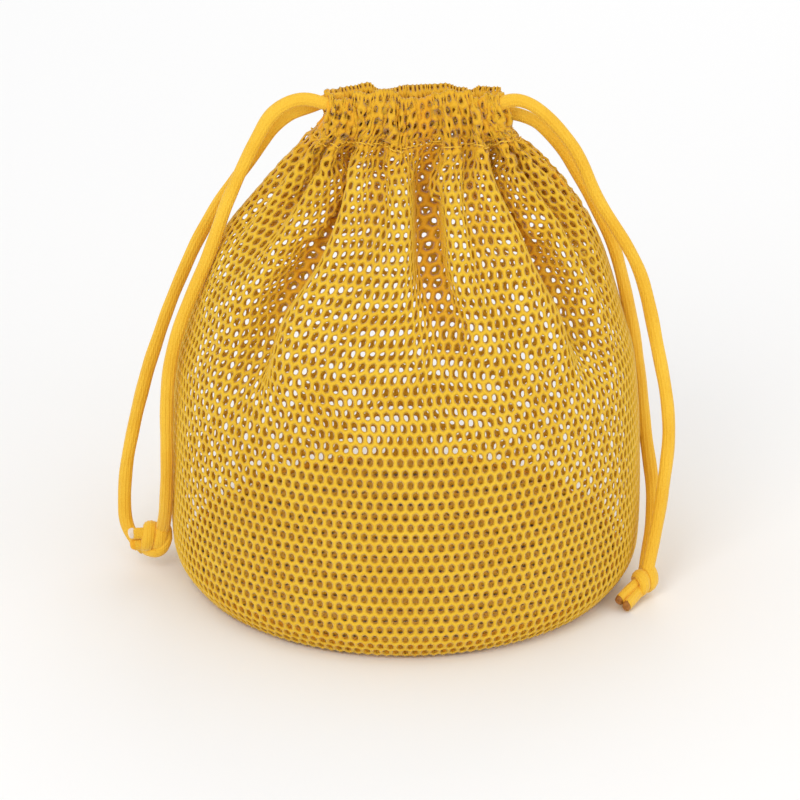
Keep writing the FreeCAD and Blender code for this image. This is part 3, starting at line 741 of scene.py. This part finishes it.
# ------------------------------------------------------------------ cords
WIDE, THIN = 5.2, 3.7
ROUTES = {
    "left": dict(
        front=[(-14.5, -5.0, 201.2), (-22, -5.0, 201.2), (-28, -4.8, 201.6), (-33, -4.2, 202.7), (-36.5, -3.5, 203.6),
               (-41, -3.5, 204.1), (-46.6, -3.8, 202.6), (-51.8, -4, 198.9), (-55.2, -4, 194.3), (-57.8, -4, 189.2),
               (-60.4, -4, 184.1), (-62.8, -4.1, 178.9), (-65.3, -4.3, 173.6), (-67.5, -4.6, 168.5), (-69.6, -5, 163.6),
               (-71.8, -5.8, 158.4), (-76.3, -8, 144.6), (-80.2, -11, 135.2), (-84.6, -14, 125.8), (-88.6, -16.5, 116.4),
               (-91.8, -19, 107.0), (-93.9, -21, 97.4), (-95.1, -22, 87.5), (-95.6, -22.5, 77.1), (-95.8, -22.5, 66.6),
               (-95.9, -22, 55.8), (-96.3, -20.5, 44.6), (-97, -17, 32.5), (-97.8, -13.5, 25.0), (-99, -9.5, 18.6),
               (-101, -7, 16)],
        rear=[(-14.5, 5.0, 201.2), (-22, 5.0, 201.2), (-28, 4.8, 200.9), (-33, 4.4, 199.8), (-37.5, 3.5, 198.3),
              (-44.5, 3.3, 195.9), (-49.2, 3.2, 192.7), (-53.4, 3.2, 188.6), (-56.7, 3.2, 183.4), (-60.1, 3.2, 178.0),
              (-64.2, 3.2, 172.2), (-69.4, 3.4, 164.8), (-73.2, 3.8, 159.1), (-76.4, 4.3, 153.6), (-79.2, 5, 148.2),
              (-84.6, 6, 137.4), (-89.0, 7, 126.6), (-93.4, 8, 115.6), (-97.3, 9, 104.6), (-100.7, 9.5, 94),
              (-103.9, 9.5, 84.2), (-106.7, 9.5, 73.6), (-109.3, 9.3, 63.1), (-111.5, 9, 52.7), (-113.6, 8.3, 42.5),
              (-114.9, 7.3, 32.3), (-115.2, 5.5, 22.6), (-114.8, 3.6, 16.8), (-113, .6, 12.8), (-110, -3.2, 9.8),
              (-107, -6.5, 8.6)],
        level=201.2, exit=-36.5, out=-1, turn=28.0),
    "right": dict(
        front=[(19.5, -5.0, 196.4), (26, -5.0, 196.8), (31, -4.9, 198.5), (36, -4.5, 201.5), (40.5, -3.7, 203.6),
               (45.1, -3.5, 203.5), (49.8, -3.8, 201.7), (53.9, -4, 198.6), (58.7, -4, 193.8), (63.0, -4.4, 188.7),
               (66.4, -5, 184.0), (69.0, -5.5, 179.0), (71.2, -6, 174.3), (73.2, -6.5, 169.1), (75.6, -7.2, 163.8),
               (78.6, -8.2, 158.8), (81.9, -9, 153.8), (88.3, -10, 143.6), (93.2, -10.5, 133.5), (96.0, -11, 123.8),
               (98.3, -11.5, 113.8), (100.3, -12.5, 103.8), (102.4, -13.5, 93.8), (104.3, -15, 84), (105.5, -17, 74.6),
               (105.9, -19, 65), (105.1, -21, 55.4), (103.8, -23.5, 45.8), (102.6, -26, 36.3), (100.8, -28.5, 26.8),
               (98.9, -31, 17.4), (97.8, -32.6, 11.5)],
        rear=[(19.5, 5.0, 196.4), (26, 5.0, 196.4), (31, 4.9, 196.2), (36, 4.6, 195.8), (41, 3.5, 195.5),
              (45.6, 3.1, 194.7), (51.2, 3, 192.3), (54.8, 3, 189.3), (59.6, 3.2, 183.9), (63.6, 3.5, 178.2),
              (67.0, 3.6, 172.4), (70.3, 3.8, 166.6), (75.1, 4.2, 157.2), (79.6, 4.6, 147.4), (83.4, 5, 138),
              (86.0, 5, 128.4), (88.4, 5, 117.8), (90.7, 5, 107.2), (92.5, 5, 96.7), (94.0, 5, 86.1), (95.5, 5, 75.6),
              (96.6, 4.5, 65.3), (97.6, 2, 55.8), (99.1, -2, 47), (100.3, -7, 38.7), (100.5, -13, 30.8),
              (99.5, -20, 23.4), (97.8, -26, 15.5), (96.8, -29.5, 10.5)],
        level=196.4, exit=41.5, out=1, turn=-23.0),
}
RUN_IN = 22.0               # how much of the channel run is one piece with the hanging strand


def cord_tube(P, wide=WIDE, thin=THIN, twist=None, W=None, m=44, taper=0.0):
    """The knitted cord: a soft flattened tube with lengthwise ribs."""
    n = len(P)
    T = unit(np.gradient(P, axis=0))
    base = unit(np.cross((0, 1, 0), T)) if W is None else unit(W - T * (W * T).sum(-1, keepdims=True))
    other = np.cross(T, base)
    if twist is not None:
        base = base * np.cos(twist)[:, None] + other * np.sin(twist)[:, None]
    s = np.arange(n)
    swell = 1 + .03 * np.sin(s * .11 + P[0, 0]) + .02 * np.sin(s * .37)
    sec = oval(wide, thin, m, 11, .055)[None] * swell[:, None, None]
    return sweep(P, base, sec)


cords = {}
for side, R in ROUTES.items():
    for strand in ("front", "rear"):
        P, length = routed(R[strand])
        d = np.linspace(0, length, len(P))
        tw = .35 * np.sin(d * .022 + (0 if strand == "front" else 2.1)) * smooth(20, 60, d) * (1 - smooth(length - 40, length, d))
        V, Fc = cord_tube(P, twist=tw)
        ob = mesh_from(side + "_cord_" + strand, V * MM, Fc, CORD)
        cords[side, strand] = (ob, P, length)

# the hidden part of each cord, round the channel
hidden = {}
for side, R in ROUTES.items():
    o, z, xt = R["out"], R["level"], R["turn"]
    runs = []
    for sg in (-1, 1):
        P, _ = routed([(R["exit"] - o * (RUN_IN - .6), sg * 5.0, z), (R["exit"] - o * 32, sg * 5.0, z), (R["exit"] - o * 54, sg * 5.0, z)], 1.5)
        runs.append(cord_tube(P, 5.15, 3.65, m=44))
    V, Fc = joined(runs)
    hidden[side, "run"] = mesh_from(side + "_cord_in_channel", V * MM, Fc, CORD)
    x0 = R["exit"] - o * 38
    P, _ = routed([(x0, -5.0, z), (xt, -5.0, z), (xt - o * 3.5, -5.0, z), (xt - o * 6.6, -3.2, z),
                   (xt - o * 6.6, 3.2, z), (xt - o * 3.5, 5.0, z), (xt, 5.0, z), (x0, 5.0, z)], 1.2)
    V, Fc = cord_tube(P, 4.6, 3.3, m=44)
    hidden[side, "turn"] = mesh_from(side + "_cord_turn", V * MM, Fc, CORD)

# ------------------------------------------------------------------ knots, tails and their melted ends
KNOTS = {
    "left": dict(C=(-102.0, -8.0, 15.2), A=(-1, -.15, .03), turns=2.0, start=-2.4, s0=-4.7, pitch=4.9, R=(5.0, 4.8, 3.9),
                 loop=[(-110, -3.2, 9.8), (-107, -6.8, 8.5), (-103.2, -10.2, 8.3), (-99.6, -11.4, 9.5), (-97.0, -10.4, 13),
                       (-96.6, -7.6, 17.2), (-98.6, -5.2, 19.2), (-101.5, -5, 17.5)],
                 tails=[[(-103, -9.0, 17.0), (-107, -11.2, 17.7), (-113.0, -12.4, 18.2)],
                        [(-103, -8.6, 13.2), (-107, -10.6, 12.8), (-112.4, -12.0, 12.6)]], tips=(TIP_PALE, SEAM)),
    "right": dict(C=(96.2, -33.2, 7.4), A=(-.62, -.72, -.18), turns=2.0, start=-2.4, s0=-5.2, pitch=4.9, R=(4.9, 3.6, 3.8),
                  loop=[(97.5, -28.5, 12.0), (99.8, -28.6, 9.0), (99.9, -29.2, 5.2), (96.8, -31.2, 3.4), (93.4, -34.2, 4.4),
                        (93.2, -35.0, 7.4)],
                  tails=[[(95, -34, 8.0), (89.8, -40.2, 6.4), (85.0, -46.2, 3.8)],
                         [(95.5, -35.5, 5.2), (91.8, -42.0, 3.6), (88.0, -48.6, 2.6)]], tips=(TIP_BROWN, TIP_BROWN)),
}
knots, tails, tips = {}, {}, {}
for side, K in KNOTS.items():
    C, e1 = np.array(K["C"], float), unit(np.array(K["A"], float))
    e2 = unit(np.array((0, 0, 1.)) - e1 * e1[2])
    e3 = np.cross(e1, e2)
    if e3[1] > 0:
        e3 = -e3
    parts = []
    phi = np.linspace(K["start"], K["start"] + 2 * np.pi * K["turns"], 90)
    s = K["s0"] + K["pitch"] * (phi - phi[0]) / (2 * np.pi)
    up = K["R"][0] + (K["R"][1] - K["R"][0]) * (phi - phi[0]) / (phi[-1] - phi[0])
    P = C + e1 * s[:, None] + e2 * (up * np.cos(phi))[:, None] + e3 * (K["R"][2] * up / K["R"][0] * np.sin(phi))[:, None]
    P, _ = spaced(P, 1.0)
    parts.append(cord_tube(P, 5.3, 3.1, W=np.broadcast_to(e1, P.shape)))
    # the standing part under the wraps: from the outer strand along the bottom and up round the far end
    P, _ = routed(K["loop"], 1.0)
    parts.append(cord_tube(P, 4.6, 3.4, W=np.broadcast_to(e2 * .9 + e3 * .35, P.shape)))
    core = [(-5.0, .2, 0), (-2, .1, 0), (2, -.1, 0), (4.4, -.2, 0)]
    P, _ = routed([tuple(C + e1 * p[0] + e2 * p[1] + e3 * p[2]) for p in core], 1.0)
    parts.append(cord_tube(P, 6.2, 5.0, W=np.broadcast_to(e2, P.shape)))
    V, Fc = joined(parts)
    knots[side] = mesh_from(side + "_knot_wraps", V * MM, Fc, CORD)
    tl, tp = [], []
    for k, tail in enumerate(K["tails"]):
        t = [np.array(p, float) for p in tail]
        P, _ = routed([tuple(q) for q in t], 1.0)
        P = P[:-2]
        tl.append(cord_tube(P, 4.9, 3.5, W=np.broadcast_to(e2, P.shape)))
        d = unit(P[-1] - P[-3])
        # a blob of melted fibre: short rings that close to a blunt end
        g = np.array([-.6, 0, .6, 1.2, 1.6, 1.8])
        f = np.array([.94, .98, .96, .84, .6, .2])
        Q = P[-1] + d * g[:, None] + e2 * (.12 * np.sin(g * 2 + k))[:, None]
        sec = oval(4.7, 3.5, 20, 3, .05)[None] * f[:, None, None]
        V, Fc = sweep(Q, np.broadcast_to(e2, Q.shape), sec)
        tips[side, k] = mesh_from(side + "_tip_" + ("upper", "lower")[k], V * MM, Fc, K["tips"][k])
    V, Fc = joined(tl)
    tails[side] = mesh_from(side + "_knot_tails", V * MM, Fc, CORD)

# ------------------------------------------------------------------ the floor
floor_mat = bpy.data.materials.new("floor")
floor_mat.use_nodes = True
nt = floor_mat.node_tree
tone = nt.nodes.new("ShaderNodeTexNoise")
tone.inputs["Scale"].default_value = 3
mixer = nt.nodes.new("ShaderNodeValToRGB")
mixer.color_ramp.elements[0].color = (.93, .93, .93, 1)
mixer.color_ramp.elements[1].color = (.95, .95, .95, 1)
nt.links.new(tone.outputs["Fac"], mixer.inputs["Fac"])
nt.links.new(mixer.outputs["Color"], nt.nodes["Principled BSDF"].inputs["Base Color"])
nt.nodes["Principled BSDF"].inputs["Roughness"].default_value = .9
nt.nodes["Principled BSDF"].inputs["Specular IOR Level"].default_value = .1
floor = mesh_from("floor", [(-3, -2, 0), (3, -2, 0), (3, 4, 0), (-3, 4, 0)], [(0, 1, 2, 3)], floor_mat)

# ------------------------------------------------------------------ what each piece rides on and stands for
bag = [front_net, rear_net, front_case, rear_case, bottom_net, bottom_band, overlock, *bands.values(),
       *case_stitch.values(), *hems.values()]
for ob in bag:
    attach(ob, "bag")
for side in ("left", "right"):
    R = ROUTES[side]
    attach(hidden[side, "run"], side + "_cord")
    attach(hidden[side, "turn"], "bag")
    for ob in (knots[side], tails[side], tips[side, 0], tips[side, 1]):
        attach(ob, side + "_loop")
    for strand in ("front", "rear"):
        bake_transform(cords[side, strand][0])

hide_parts("front_mesh_panel")
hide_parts("rear_mesh_panel")
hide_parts("front_casing")
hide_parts("rear_casing")
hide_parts("bottom_panel")
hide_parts("bottom_seam")
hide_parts("front_casing_stitching")
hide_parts("rear_casing_stitching")
for side in ("left", "right"):
    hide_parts(side + "_side_seam")
    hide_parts(side + "_cord_opening")
    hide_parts(side + "_cord_channel_runs")
    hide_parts(side + "_cord_far_turn")
    for strand in ("front", "rear"):
        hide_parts(side + "_cord_" + strand + "_strand")
    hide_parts(side + "_knot")
    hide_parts(side + "_cord_tails")
    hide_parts(side + "_tail_tips")

for side in ("left", "right"):
    R = ROUTES[side]
    for strand in ("front", "rear"):
        ob, P, length = cords[side, strand]
